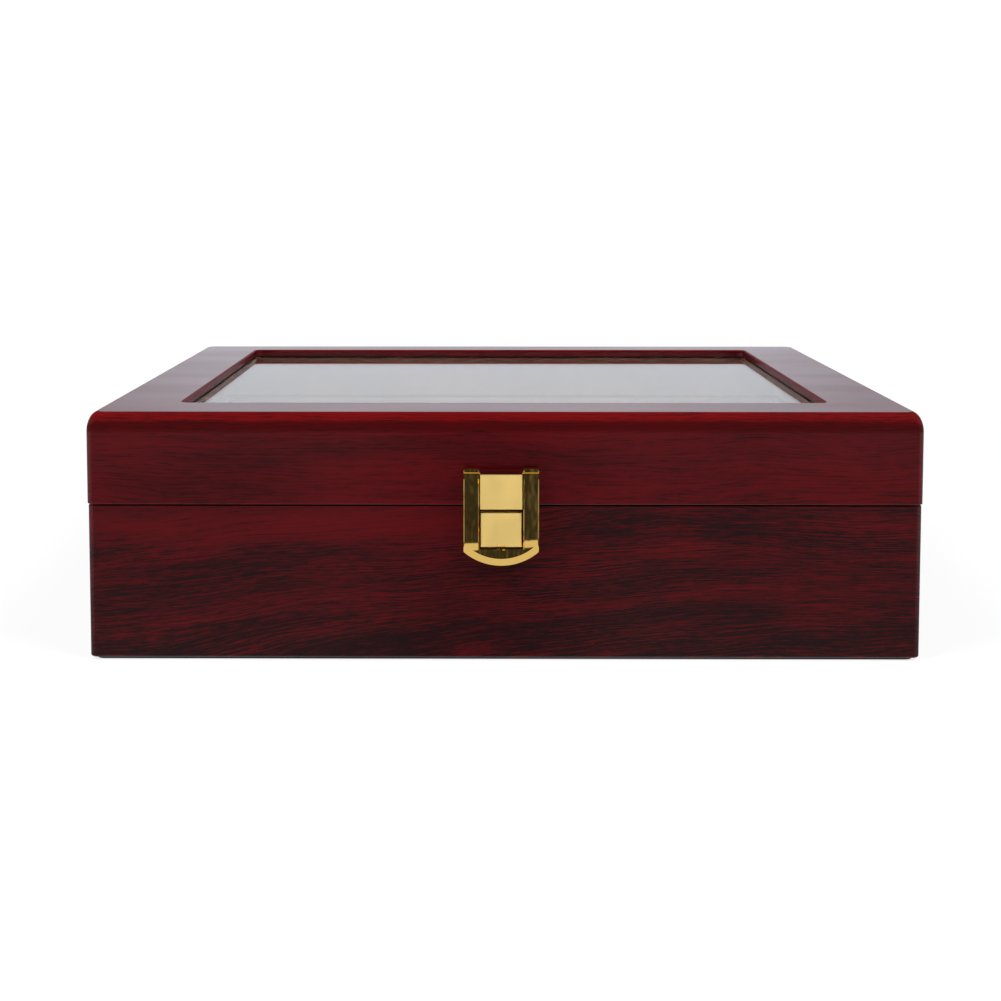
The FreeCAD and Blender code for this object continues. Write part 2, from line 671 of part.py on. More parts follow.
def flap_half(side):
    """Rail flange, ear and nib on one side of the flap."""
    outer = FLAP_HALF_WIDTH
    flange_front = FLAP_FRONT_OUT - 1.5 * FLAP_EDGE_CHAMFER
    flange = front_block(outer - FLAP_FLANGE, outer, FLAP_FLANGE_BACK_OUT, flange_front,
                         FLAP_SHOULDER_Z + 1, LATCH_AXIS_Z - EAR_BOTTOM / 2)
    nib_start = NIB_SPACING / 2 - NIB_WIDTH / 2
    nib = front_block(nib_start, nib_start + NIB_WIDTH, FLAP_BACK_OUT, FLAP_FRONT_OUT - NIB_SETBACK,
                      FLAP_WINDOW_BOTTOM_Z - NIB_ROOT, FLAP_WINDOW_BOTTOM_Z + NIB_HEIGHT)
    pieces = [flap_ear(), flange, nib]
    if side == "left":
        pieces = [piece.mirror(Vector(0, 0, 0), Vector(1, 0, 0)) for piece in pieces]
    return pieces


def latch_flap():
    flap = fused(flap_plate(), flap_half("left") + flap_half("right"))
    reach = FLAP_HALF_WIDTH + 1
    bore_radius = LATCH_PIN_RADIUS + PIN_CLEARANCE
    bore = cylinder_along_x(bore_radius, -reach, reach, out(LATCH_AXIS_OUT), LATCH_AXIS_Z)
    return flap.cut([bore, flap_rim_bevel()])


def catch_prongs():
    prongs = []
    middle = (CATCH_BOTTOM + CATCH_TOP) / 2
    for x in (-PRONG_OFFSET, PRONG_OFFSET):
        prong = front_block(x - PRONG_WIDTH / 2, x + PRONG_WIDTH / 2, -PRONG_LENGTH, CATCH_OUT / 2,
                            middle - LATCH_SHEET / 2, middle + LATCH_SHEET / 2)
        prongs.append(prong)
    return prongs


def latch_catch():
    """Square cap on the base's front, held by two prongs driven into the wall."""
    half = CATCH_HALF_WIDTH
    cap = front_block(-half, half, 0, CATCH_OUT, CATCH_BOTTOM, CATCH_TOP)
    face_edges = [edge for edge in cap.Edges if edge.BoundBox.YMax < out(CATCH_OUT) + 1e-4]
    cap = cap.makeFillet(PLATE_EDGE_RADIUS, face_edges)
    hollow = front_block(LATCH_SHEET - half, half - LATCH_SHEET, -1, CATCH_OUT - LATCH_SHEET,
                         CATCH_BOTTOM + LATCH_SHEET, CATCH_TOP - LATCH_SHEET)
    stems = []
    for prong in catch_prongs():
        box = prong.BoundBox
        stems.append(block(box.XMin, box.XMax, out(CATCH_OUT - LATCH_SHEET / 2), box.YMax,
                           box.ZMin, box.ZMax))
    return fused(cap.cut(hollow), stems)


# ---- Coin tray ----
def tray_board():
    return centred_block(TRAY_INNER_LENGTH, TRAY_INNER_DEPTH, TRAY_BOTTOM, TRAY_BOTTOM + TRAY_BOARD)


def tray_floor_lining():
    return centred_block(TRAY_INNER_LENGTH, TRAY_INNER_DEPTH, TRAY_BOTTOM + TRAY_BOARD, CELL_FLOOR)


def tray_wall(side):
    ring = centred_block(TRAY_LENGTH, TRAY_DEPTH, TRAY_BOTTOM, TRAY_TOP)
    ring = ring.cut(centred_block(TRAY_INNER_LENGTH, TRAY_INNER_DEPTH, 0, CASE_HEIGHT))
    ring = round_at_height(ring, TRAY_TOP, TRAY_EDGE_RADIUS)
    half = TRAY_LENGTH / 2
    y_inner = TRAY_INNER_DEPTH / 2
    zones = {
        "front": block(-half, half, -TRAY_DEPTH, -y_inner, 0, CASE_HEIGHT),
        "rear": block(-half, half, y_inner, TRAY_DEPTH, 0, CASE_HEIGHT),
        "left": block(-half, 0, -y_inner, y_inner, 0, CASE_HEIGHT),
        "right": block(0, half, -y_inner, y_inner, 0, CASE_HEIGHT),
    }
    wall = ring.common(zones[side])
    if side in ("front", "rear"):
        place = Vector(0, -TRAY_DEPTH, TRAY_TOP + NOTCH_RISE)
        notch = Part.makeCylinder(NOTCH_RADIUS, 2 * TRAY_DEPTH, place, Vector(0, 1, 0))
        wall = wall.cut(notch)
    return wall


def long_divider_places():
    pitch = CELL + DIVIDER
    return [(row - ROWS / 2) * pitch for row in range(1, ROWS)]


def cross_divider_places():
    pitch = CELL + DIVIDER
    return [(column - COLUMNS / 2) * pitch for column in range(1, COLUMNS)]


def long_divider(y):
    """Divider along X, slotted from above where the cross dividers pass."""
    half = TRAY_INNER_LENGTH / 2
    board = block(-half, half, y - DIVIDER / 2, y + DIVIDER / 2, CELL_FLOOR, DIVIDER_TOP)
    board = round_at_height(board, DIVIDER_TOP, DIVIDER_EDGE_RADIUS)
    slot = DIVIDER / 2 + SLOT_CLEARANCE
    middle = (CELL_FLOOR + DIVIDER_TOP) / 2
    slots = []
    for x in cross_divider_places():
        slots.append(block(x - slot, x + slot, y - DIVIDER, y + DIVIDER, middle, CASE_HEIGHT))
    return board.cut(slots)


def cross_divider(x):
    """Divider along Y, slotted from below over the long dividers."""
    half = TRAY_INNER_DEPTH / 2
    board = block(x - DIVIDER / 2, x + DIVIDER / 2, -half, half, CELL_FLOOR, DIVIDER_TOP)
    board = round_at_height(board, DIVIDER_TOP, DIVIDER_EDGE_RADIUS)
    slot = DIVIDER / 2 + SLOT_CLEARANCE
    middle = (CELL_FLOOR + DIVIDER_TOP) / 2
    slots = []
    for y in long_divider_places():
        slots.append(block(x - DIVIDER, x + DIVIDER, y - slot, y + slot, 0, middle))
    return board.cut(slots)


# ---- Assembly ----
def all_parts():
    parts = {}
    for side in SIDES:
        parts["base_wall_" + side] = base_wall(side)
        parts["base_liner_" + side] = base_liner(side)
        parts["lid_wall_" + side] = lid_wall(side)
        parts["lid_lining_" + side] = lid_lining(side)
        parts["glazing_bead_" + side] = glazing_bead(side)
        parts["tray_wall_" + side] = tray_wall(side)
    for side, centre in (("left", -HINGE_OFFSET), ("right", HINGE_OFFSET)):
        parts["tray_ledge_" + side] = tray_ledge(side)
        parts["hinge_base_leaf_" + side] = hinge_base_leaf(centre)
        parts["hinge_lid_leaf_" + side] = hinge_lid_leaf(centre)
        parts["hinge_pin_" + side] = hinge_pin(centre)
    for number, y in enumerate(long_divider_places(), 1):
        parts["long_divider_%d" % number] = long_divider(y)
    for number, x in enumerate(cross_divider_places(), 1):
        parts["cross_divider_%d" % number] = cross_divider(x)
    parts["base_bottom_panel"] = base_bottom_panel()
    parts["base_floor_lining"] = base_floor_lining()
    parts["underside_felt"] = underside_felt()
    parts["hinge_base_screws"] = hinge_base_screws()
    parts["hinge_lid_screws"] = hinge_lid_screws()
    parts["lid_top_frame"] = lid_top_frame()
    parts["window_seal"] = window_seal()
    parts["window_glass"] = window_glass()
    parts["bead_pins"] = bead_pins()
    parts["latch_lid_plate"] = at_latch(latch_lid_plate())
    parts["latch_nails"] = at_latch(latch_nails())
    parts["latch_pin"] = at_latch(latch_pin())
    parts["latch_flap"] = at_latch(latch_flap())
    parts["latch_catch"] = at_latch(latch_catch())
    parts["tray_board"] = tray_board()
    parts["tray_floor_lining"] = tray_floor_lining()
    return parts


os.makedirs("parts", exist_ok=True)
for name, shape in sorted(all_parts().items()):
    shape.exportStep("parts/" + name + ".step")
    print(name, "solids", len(shape.Solids), "valid", shape.isValid(), "volume", round(shape.Volume))
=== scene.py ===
import math

import bmesh
import bpy
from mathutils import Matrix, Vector


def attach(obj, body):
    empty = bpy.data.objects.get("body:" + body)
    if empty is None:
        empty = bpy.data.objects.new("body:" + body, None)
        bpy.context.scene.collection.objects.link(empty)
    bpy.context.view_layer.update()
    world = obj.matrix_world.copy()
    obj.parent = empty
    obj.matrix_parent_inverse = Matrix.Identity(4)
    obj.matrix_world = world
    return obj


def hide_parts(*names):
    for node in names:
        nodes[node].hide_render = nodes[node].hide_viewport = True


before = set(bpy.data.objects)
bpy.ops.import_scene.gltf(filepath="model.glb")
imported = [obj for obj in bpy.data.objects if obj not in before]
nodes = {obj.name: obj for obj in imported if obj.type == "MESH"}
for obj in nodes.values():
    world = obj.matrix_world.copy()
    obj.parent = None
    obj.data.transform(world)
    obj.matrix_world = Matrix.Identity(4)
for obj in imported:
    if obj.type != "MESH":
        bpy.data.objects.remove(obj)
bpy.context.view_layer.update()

MM = 0.001

# ---- Camera: pinhole that matches the photograph's view of the front ----
CAMERA_PLACE = (-6.26 * MM, -689.03 * MM, 169.87 * MM)
CAMERA_PITCH_DOWN = 3.988
CAMERA_YAW_LEFT = 0.342
FOCAL_IN_FRAME_WIDTHS = 1.5960
SENSOR_MM = 36.0
SHIFT_X = 0.0229
SHIFT_Y = -0.2
CLIP_NEAR = 0.01
CLIP_FAR = 50.0

# ---- Stage: the floor glows in the backdrop's tone, wholly so past the end of the fade ----
FLOOR_RADIUS = 6.0
FLOOR_FADE_START = 0.22
FLOOR_FADE_END = 0.7
FLOOR_RINGS = 24
FLOOR_SPOKES = 96
FLOOR_COLOUR = (0.84, 0.84, 0.84, 1)
FLOOR_GLOW = 0.80
BACKDROP_RADIUS = 8.0
BACKDROP_COLOUR = (1.02, 1.02, 1.02, 1)

# ---- Light: how bright the studio is in each direction, and the lamps for one side ----
HORIZON_LIGHT = 0.84
UPPER_LIGHT = 0.03
SIDE_LIGHT = 0.38
LIGHT_FROM_BELOW = 0.74
HAZE_LIGHT = 0.13
ROOM_LIGHT = 0.10
ROOM_FLOOR_LIGHT = 0.15
OFF_AXIS_SHARE = 0.7
AHEAD_SHARE = 0.3
WARM_TINT = (1.0, 0.93, 0.87, 1)
COOL_TINT = (0.89, 0.912, 1.0, 1)
LAMP_AIM = (0, 0, 0.05)
OVERHEAD_PLACE = (0.85, -0.40, 1.15)
OVERHEAD_SIZE = (1.0, 0.9)
OVERHEAD_POWER = 21.0
GLOSS_PLACE = (0.95, -1.15, 0.35)
GLOSS_SIZE = (0.75, 0.9)
GLOSS_POWER = 17.0


# ---------------------------------------------------------------- node helpers
class Graph:
    """Short way to write a shader tree."""

    def __init__(self, tree):
        self.tree = tree

    def node(self, kind, settings=None, **inputs):
        """New node. settings are its own properties, and inputs are its sockets' values or links."""
        made = self.tree.nodes.new(kind)
        for key, value in (settings or {}).items():
            setattr(made, key, value)
        for key, value in inputs.items():
            self.feed(made, key.replace("_", " "), value)
        return made

    def feed(self, target, key, value):
        """Links value to a socket if it is another socket, and else sets it. key is a name or index."""
        socket = target.inputs[int(key)] if key.isdigit() else target.inputs[key]
        if isinstance(value, bpy.types.NodeSocket):
            self.tree.links.new(value, socket)
        else:
            socket.default_value = value

    def math(self, operation, first, second=0.0):
        made = self.node("ShaderNodeMath", {"operation": operation})
        self.feed(made, "0", first)
        self.feed(made, "1", second)
        return made.outputs[0]

    def ramp(self, value, low, high, out_low=0.0, out_high=1.0):
        """Smooth step of value from low to high."""
        made = self.node("ShaderNodeMapRange", {"interpolation_type": "SMOOTHSTEP"},
                         From_Min=low, From_Max=high, To_Min=out_low, To_Max=out_high)
        self.feed(made, "Value", value)
        return made.outputs["Result"]

    def mix(self, factor, first, second):
        """Colour between first and second."""
        made = self.node("ShaderNodeMix", {"data_type": "RGBA"})
        self.feed(made, "0", factor)
        self.feed(made, "6", first)
        self.feed(made, "7", second)
        return made.outputs[2]

    def vector(self, x, y, z):
        made = self.node("ShaderNodeCombineXYZ")
        self.feed(made, "0", x)
        self.feed(made, "1", y)
        self.feed(made, "2", z)
        return made.outputs[0]

    def noise(self, place, scale=1.0, detail=2.0, roughness=0.5):
        made = self.node("ShaderNodeTexNoise", Scale=scale, Detail=detail, Roughness=roughness)
        self.feed(made, "Vector", place)
        return made.outputs["Fac"]

    def bump(self, height, distance, strength=1.0):
        """Normal of a relief that is distance metres deep."""
        made = self.node("ShaderNodeBump", Strength=strength, Distance=distance)
        self.feed(made, "Height", height)
        return made.outputs["Normal"]

    def place(self):
        """Position in the row's frame, in metres, as a vector and as its three numbers."""
        source = self.node("ShaderNodeTexCoord").outputs["Object"]
        split = self.node("ShaderNodeSeparateXYZ")
        self.feed(split, "0", source)
        return source, split.outputs[0], split.outputs[1], split.outputs[2]


def new_material(name):
    """Material, a graph of its nodes, and its Principled shader."""
    material = bpy.data.materials.new(name)
    material.use_nodes = True
    graph = Graph(material.node_tree)
    shader = material.node_tree.nodes["Principled BSDF"]
    return material, graph, shader


# ---------------------------------------------------------------- materials
WOOD_RED = (0.104, 0.0028, 0.0052, 1)
WOOD_DEEP_RED = (0.070, 0.0024, 0.0044, 1)
# Painted highlight: a brighter red where the lid's top frame rolls over, standing in for light from
# above
WOOD_ROLLED_HIGHLIGHT_RED = (0.132, 0.0028, 0.0034, 1)
# Painted shade: a darker red line just under that rolled edge
WOOD_SHADE_RED = (0.062, 0.0018, 0.0024, 1)
WOOD_STREAK = (0.0095, 0.0042, 0.0054, 1)
WOOD_FAINT_STREAK = (0.024, 0.0026, 0.0036, 1)

# The upright ends of the lid's window lie between these distances from the middle
WINDOW_REACH_LOW = 125 * MM
WINDOW_REACH_HIGH = 135 * MM

# Cells of each grain pattern per metre, along and across the grain
FIGURE_CELLS = (9.0, 26.0)
CLUSTER_CELLS = (14.0, 95.0)
STROKE_CELLS = (40.0, 1700.0)
DASH_CELLS = (170.0, 1500.0)
LINE_CELLS = (7.0, 1000.0)

# What makes a streak: the shares of the patterns, and the sum at which it starts and is darkest
STROKE_SHARE = 0.56
DASH_SHARE = 0.44
CLUSTER_SHARE = 0.22
STREAK_START = 0.59
STREAK_FULL = 0.80
STREAK_COVER = 0.90

# How far the figure pushes the grain aside
GRAIN_WANDER = 16 * MM

# Heights and places on the base's front where it is streaked more, and less, and where grain climbs
FOOT_TOP = 24 * MM
FOOT_LOW = 4 * MM
CLEAN_START = 36 * MM
CLEAN_FULL = 52 * MM
CLEAN_RIGHT = 30 * MM
CLEAN_LEFT = -20 * MM
CLIMB_START = -160 * MM
CLIMB_END = 90 * MM
CLIMB_TOP = 50 * MM
CLIMB_LOW = 5 * MM
CLIMB_SHARE_AT_TOP = 0.5

# Lacquer
COAT_THINNEST = 0.86
COAT_LOST_AT_EDGES = 0.75
COAT_ROUGHNESS = 0.03
COAT_IOR = 1.5
COAT_RIPPLE_DEPTH = 0.01 * MM
WOOD_SPECULAR = 0.06


def own_normal(graph):
    """Direction a face looks, in the row's frame, as its three numbers."""
    split = graph.node("ShaderNodeSeparateXYZ")
    graph.feed(split, "0", graph.node("ShaderNodeTexCoord").outputs["Normal"])
    return split.outputs[0], split.outputs[1], split.outputs[2]


def wood_coordinates(graph, runs_along):
    """Distances along and across the grain, in metres.

    runs_along is x or y, or both for the top frame, whose grain follows each of its sides.
    """
    _, x, y, z = graph.place()
    if runs_along == "x":
        return x, graph.math("ADD", z, y)
    if runs_along == "y":
        return y, z
    facing, _, _ = own_normal(graph)
    sideways = graph.ramp(graph.math("ABSOLUTE", facing), 0.6, 0.8)
    along = graph.node("ShaderNodeMix")
    graph.feed(along, "0", sideways)
    graph.feed(along, "2", x)
    graph.feed(along, "3", y)
    across = graph.node("ShaderNodeMix")
    graph.feed(across, "0", sideways)
    graph.feed(across, "2", graph.math("ADD", z, y))
    graph.feed(across, "3", z)
    return along.outputs[0], across.outputs[0]


def grain_amount(graph, along, height, density, low_bias, clean_corner):
    """How readily streaks appear: more near the foot, and less at the upper left."""
    lower = graph.ramp(height, FOOT_TOP, FOOT_LOW, 0.0, low_bias)
    upper_left = graph.math("MULTIPLY", graph.ramp(height, CLEAN_START, CLEAN_FULL),
                            graph.ramp(along, CLEAN_RIGHT, CLEAN_LEFT, 0.0, clean_corner))
    return graph.math("ADD", graph.math("SUBTRACT", lower, upper_left), density)


def frame_masks(graph):
    """Where the top frame rolls over and gets a painted highlight, the line under that with painted
    shade, and the upright ends of its window.
    """
    facing, _, upward = own_normal(graph)
    rolled_highlight = graph.math("MULTIPLY", graph.ramp(upward, 0.27, 0.42), graph.ramp(upward, 0.995, 0.96))
    shade = graph.math("MULTIPLY", graph.ramp(upward, 0.0, 0.13), graph.ramp(upward, 0.40, 0.27))
    sideways = graph.ramp(graph.math("ABSOLUTE", facing), 0.5, 0.8)
    _, x, _, _ = graph.place()
    inside = graph.ramp(graph.math("ABSOLUTE", x), WINDOW_REACH_HIGH, WINDOW_REACH_LOW)
    return rolled_highlight, shade, graph.math("MULTIPLY", sideways, inside)


def lacquered_wood(name, runs_along, seed, density, streak=WOOD_STREAK, climb=0.0,
                   low_bias=0.0, clean_corner=0.0, is_frame=False):
    """Dark red figured wood under a deep gloss lacquer.

    density sets how much of it is streaked, low_bias adds to that near the foot, and clean_corner
    takes from it at the upper left. climb lifts the grain from left to right, and is_frame gives
    the lid's top frame a painted highlight, a brighter red where it rolls over, and painted shade,
    a darker line below that.
    """
    material, graph, shader = new_material(name)
    along, across = wood_coordinates(graph, runs_along)
    place, _, _, height = graph.place()

    def pattern(cells, across_grain, offset, detail, roughness=0.5):
        """Noise stretched along the grain, with its own offset so that no two patterns line up."""
        stretched = graph.vector(graph.math("MULTIPLY", along, cells[0]),
                                 graph.math("MULTIPLY", across_grain, cells[1]), seed + offset)
        return graph.noise(stretched, detail=detail, roughness=roughness)

    figure = pattern(FIGURE_CELLS, across, 0.0, 2.0)
    wander = graph.math("MULTIPLY", graph.math("SUBTRACT", figure, 0.5), GRAIN_WANDER)
    lift = graph.math("MULTIPLY", graph.ramp(along, CLIMB_START, CLIMB_END, 0.0, -climb),
                      graph.ramp(height, CLIMB_TOP, CLIMB_LOW, CLIMB_SHARE_AT_TOP, 1.0))
    bent = graph.math("ADD", graph.math("ADD", across, wander), lift)
    clusters = pattern(CLUSTER_CELLS, bent, 11.0, 3.0)
    strokes = pattern(STROKE_CELLS, bent, 3.0, 3.0, roughness=0.6)
    dashes = pattern(DASH_CELLS, bent, 7.0, 3.0, roughness=0.65)
    lines = pattern(LINE_CELLS, bent, 19.0, 3.0)

    mark = graph.math("ADD", graph.math("MULTIPLY", strokes, STROKE_SHARE),
                      graph.math("MULTIPLY", dashes, DASH_SHARE))
    chance = graph.math("ADD", graph.math("MULTIPLY", clusters, CLUSTER_SHARE),
                        grain_amount(graph, along, height, density, low_bias, clean_corner))
    darkness = graph.ramp(graph.math("ADD", mark, chance), STREAK_START, STREAK_FULL, 0.0, STREAK_COVER)
    red = graph.mix(graph.ramp(clusters, 0.35, 0.7), WOOD_RED, WOOD_DEEP_RED)
    red = graph.mix(graph.ramp(lines, 0.45, 0.7, 0.0, 0.7), red, WOOD_DEEP_RED)
    coat = graph.ramp(figure, 0.3, 0.7, COAT_THINNEST, 1.0)
    if is_frame:
        rolled_highlight, shade, recess = frame_masks(graph)
        # Painted highlight on the rolled edge, and painted shade in the line under it
        red = graph.mix(rolled_highlight, red, WOOD_ROLLED_HIGHLIGHT_RED)
        red = graph.mix(shade, red, WOOD_SHADE_RED)
        edges = graph.math("MAXIMUM", graph.math("MAXIMUM", shade, rolled_highlight), recess)
        lost = graph.math("MULTIPLY", edges, COAT_LOST_AT_EDGES)
        coat = graph.math("MULTIPLY", coat, graph.math("SUBTRACT", 1.0, lost))
    graph.feed(shader, "Base Color", graph.mix(darkness, red, streak))
    graph.feed(shader, "Roughness", graph.ramp(strokes, 0.2, 0.8, 0.5, 0.65))
    graph.feed(shader, "Coat Weight", coat)
    shader.inputs["Specular IOR Level"].default_value = WOOD_SPECULAR
    shader.inputs["Coat IOR"].default_value = COAT_IOR
    shader.inputs["Coat Roughness"].default_value = COAT_ROUGHNESS
    ripple = graph.noise(place, scale=150.0, detail=1.0)
    graph.feed(shader, "Coat Normal", graph.bump(ripple, COAT_RIPPLE_DEPTH, 0.6))
    return material


GLASS_TONES = ((0.97, 1.0, 0.985, 1), (0.985, 1.0, 0.99, 1))
GLASS_IOR = 1.5


def clear_glass():
    """Window glass with a faint green tone and a few smudges."""
    material, graph, shader = new_material("clear_glass")
    place, _, _, _ = graph.place()
    smudge = graph.noise(place, scale=22.0, detail=3.0)
    graph.feed(shader, "Roughness", graph.ramp(smudge, 0.55, 0.8, 0.0, 0.02))
    graph.feed(shader, "Base Color", graph.mix(smudge, *GLASS_TONES))
    shader.inputs["Transmission Weight"].default_value = 1.0
    shader.inputs["IOR"].default_value = GLASS_IOR
    return material


POLISHED_ROUGHNESS = 0.08
POLISHED_UNEVENNESS = 0.18
SATIN_ROUGHNESS = 0.5
SATIN_UNEVENNESS = 0.04
DENT_DEPTH = 0.14 * MM
DENT_CELLS = (300.0, 300.0, 150.0)
FOLD_START = 68.2 * MM
FOLD_END = 68.6 * MM
# Painted reflection: the dark red that stands in for the red lacquer mirrored in the latch plate's fold
FOLD_REFLECTION_RED = (0.032, 0.0016, 0.0020, 1)
GOLD_TONES = ((0.95, 0.68, 0.21, 1), (0.92, 0.63, 0.18, 1))
SATIN_TONES = ((0.955, 0.71, 0.26, 1), (0.945, 0.70, 0.25, 1))


def gold_plate(name, tones, roughness, unevenness, wave, red_fold_reflection=False):
    """Gold-coloured plating: roughness varies by the share unevenness, and wave is its dents' depth.

    With the fold flag on, a painted reflection of the case's red lacquer, dark red and not metallic,
    covers the plate where it folds over the latch pin.
    """
    material, graph, shader = new_material(name)
    place, x, y, z = graph.place()
    clouds = graph.noise(place, scale=160.0, detail=3.0)
    stretched = graph.vector(*(graph.math("MULTIPLY", distance, cells)
                               for distance, cells in zip((x, y, z), DENT_CELLS)))
    dents = graph.noise(stretched, detail=1.0)
    colour = graph.mix(clouds, *tones)
    low = roughness * (1 - unevenness)
    high = roughness * (1 + unevenness)
    shader.inputs["Metallic"].default_value = 1.0
    if red_fold_reflection:
        # Painted reflection: the fold becomes a dark red, polished non-metal
        fold_reflection = graph.ramp(z, FOLD_START, FOLD_END)
        colour = graph.mix(fold_reflection, colour, FOLD_REFLECTION_RED)
        graph.feed(shader, "Metallic", graph.math("SUBTRACT", 1.0, fold_reflection))
        low = graph.ramp(z, FOLD_START, FOLD_END, low, POLISHED_ROUGHNESS)
        high = graph.ramp(z, FOLD_START, FOLD_END, high, POLISHED_ROUGHNESS)
    graph.feed(shader, "Base Color", colour)
    graph.feed(shader, "Roughness", graph.ramp(clouds, 0.3, 0.7, low, high))
    graph.feed(shader, "Normal", graph.bump(dents, wave))
    return material


VELVET_SHADE = (0.27, 0.178, 0.112, 1)
VELVET_LIGHT = (0.40, 0.278, 0.182, 1)
VELVET_FIBRE = (0.28, 0.20, 0.12, 1)
VELVET_SHEEN_TINT = (1.0, 0.93, 0.82, 1)
FELT_TONES = ((0.006, 0.006, 0.007, 1), (0.028, 0.027, 0.028, 1))
SEAL_TONES = ((0.004, 0.004, 0.004, 1), (0.012, 0.011, 0.011, 1))
BOARD_TONES = ((0.22, 0.135, 0.07, 1), (0.42, 0.29, 0.17, 1))


def velvet():
    """Short cream pile: brushed patches, fibre bump and a light sheen."""
    material, graph, shader = new_material("cream_velvet")
    place, _, _, _ = graph.place()
    brushed = graph.noise(place, scale=30.0, detail=4.0, roughness=0.65)
    fibre = graph.noise(place, scale=2600.0, detail=2.0)
    tone = graph.mix(graph.ramp(brushed, 0.3, 0.7), VELVET_SHADE, VELVET_LIGHT)
    tone = graph.mix(graph.ramp(fibre, 0.35, 0.75, 0.0, 0.35), tone, VELVET_FIBRE)
    graph.feed(shader, "Base Color", tone)
    graph.feed(shader, "Roughness", graph.ramp(fibre, 0.2, 0.8, 0.82, 0.98))
    shader.inputs["Sheen Weight"].default_value = 0.7
    shader.inputs["Sheen Roughness"].default_value = 0.35
    shader.inputs["Sheen Tint"].default_value = VELVET_SHEEN_TINT
    graph.feed(shader, "Normal", graph.bump(fibre, 0.4 * MM, 0.7))
    return material


def black_felt():
    """Short black pile under the base."""
    material, graph, shader = new_material("black_felt")
    place, _, _, _ = graph.place()
    fibre = graph.noise(place, scale=1400.0, detail=3.0)
    graph.feed(shader, "Base Color", graph.mix(fibre, *FELT_TONES))
    graph.feed(shader, "Roughness", graph.ramp(fibre, 0.2, 0.8, 0.85, 1.0))
    shader.inputs["Sheen Weight"].default_value = 0.25
    graph.feed(shader, "Normal", graph.bump(fibre, 0.3 * MM, 0.8))
    return material


def black_seal():
    """Matt black rubber strip under the window's lip."""
    material, graph, shader = new_material("black_seal")
    place, _, _, _ = graph.place()
    grain = graph.noise(place, scale=900.0, detail=2.0)
    graph.feed(shader, "Base Color", graph.mix(grain, *SEAL_TONES))
    graph.feed(shader, "Roughness", graph.ramp(grain, 0.3, 0.7, 0.5, 0.7))
    return material


def bare_board():
    """Raw fibreboard, for the bottom panel and the tray's board."""
    material, graph, shader = new_material("bare_board")
    place, _, _, _ = graph.place()
    chips = graph.noise(place, scale=420.0, detail=4.0, roughness=0.7)
    graph.feed(shader, "Base Color", graph.mix(chips, *BOARD_TONES))
    graph.feed(shader, "Roughness", graph.ramp(chips, 0.3, 0.7, 0.7, 0.9))
    graph.feed(shader, "Normal", graph.bump(chips, 0.2 * MM, 0.4))
    return material


# ---------------------------------------------------------------- the flap's bent foot
BEND_START = 45.3 * MM
BEND_END = 41.1 * MM
BEND_DROP = 0.54 * MM
BEND_SLANT = 0.05  # the bend lies this much higher per unit of distance to the right
BEND_STEPS = 14
LATCH_CENTRE = -1.2 * MM
NIB_REACH = 2.5 * MM
NIB_ROOT_Z = 41.65 * MM
SHARP_ANGLE = 12.0


def piece_from(shape, name):
    """Object made from a finished bmesh."""
    mesh = bpy.data.meshes.new(name)
    shape.to_mesh(mesh)
    shape.free()
    piece = bpy.data.objects.new(name, mesh)
    bpy.context.scene.collection.objects.link(piece)
    return piece


def turned_back(place):
    """How far the bend takes a point of the flap towards the case."""
    reach = (BEND_START - place.z + BEND_SLANT * place.x) / (BEND_START - BEND_END)
    share = min(max(reach, 0.0), 1.0)
    return BEND_DROP * share * share * (3 - 2 * share)


def at_nibs(place):
    """True at the two nibs over the catch plate, which only just clear it, so they don't move."""
    return abs(place.x - LATCH_CENTRE) < NIB_REACH and place.z > NIB_ROOT_Z


def bent_flap(material):
    """The latch's flap, with its foot turned back a little so that its corners mirror the floor."""
    shape = bmesh.new()
    shape.from_mesh(nodes["latch_flap"].data)
    for step in range(BEND_STEPS + 1):
        level = BEND_START + (BEND_END - BEND_START) * step / BEND_STEPS
        whole = shape.verts[:] + shape.edges[:] + shape.faces[:]
        bmesh.ops.bisect_plane(shape, geom=whole, plane_co=(0, 0, level), plane_no=(-BEND_SLANT, 0, 1))
    for vertex in shape.verts:
        if not at_nibs(vertex.co):
            vertex.co.y += turned_back(vertex.co)
    piece = piece_from(shape, "bent_flap")
    mesh = piece.data
    straight_normals = mesh.attributes.get("custom_normal")
    if straight_normals:
        mesh.attributes.remove(straight_normals)
    mesh.shade_smooth()
    mesh.set_sharp_from_angle(angle=math.radians(SHARP_ANGLE))
    mesh.materials.append(material)
    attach(piece, "latch_flap")
    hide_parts("latch_flap")
    return piece


# ---------------------------------------------------------------- what each piece is made of
def dress(name, material):
    """Gives a CAD node its finished material."""
    piece = nodes[name]
    piece.data.materials.clear()
    piece.data.materials.append(material)


LID_SEED = 57.0
LID_DENSITY = 0.035
SOFT_PIECES = ("base_liner", "lid_lining", "glazing_bead", "tray_", "long_divider", "cross_divider",
               "base_floor")


def dress_base():
    """The base's front is streaked at the right and the foot; its other walls are streaked evenly."""
    front = lacquered_wood("wood_base_front", "x", 3.0, 0.100, climb=30 * MM,
                           low_bias=0.037, clean_corner=0.11)
    dress("base_wall_front", front)
    for side, runs_along, seed in (("rear", "x", 21.0), ("left", "y", 33.0), ("right", "y", 45.0)):
        wood = lacquered_wood("wood_base_" + side, runs_along, seed, 0.07, low_bias=0.07)
        dress("base_wall_" + side, wood)


def dress_lid():
    """The lid's walls and frame share one seed, so that the grain runs on from wall to frame."""
    faint = WOOD_FAINT_STREAK
    for name, runs_along, sides in (("long", "x", ("front", "rear")), ("short", "y", ("left", "right"))):
        wood = lacquered_wood("wood_lid_" + name, runs_along, LID_SEED, LID_DENSITY, streak=faint)
        for side in sides:
            dress("lid_wall_" + side, wood)
    top = lacquered_wood("wood_lid_top", "both", LID_SEED, LID_DENSITY, streak=faint, is_frame=True)
    dress("lid_top_frame", top)


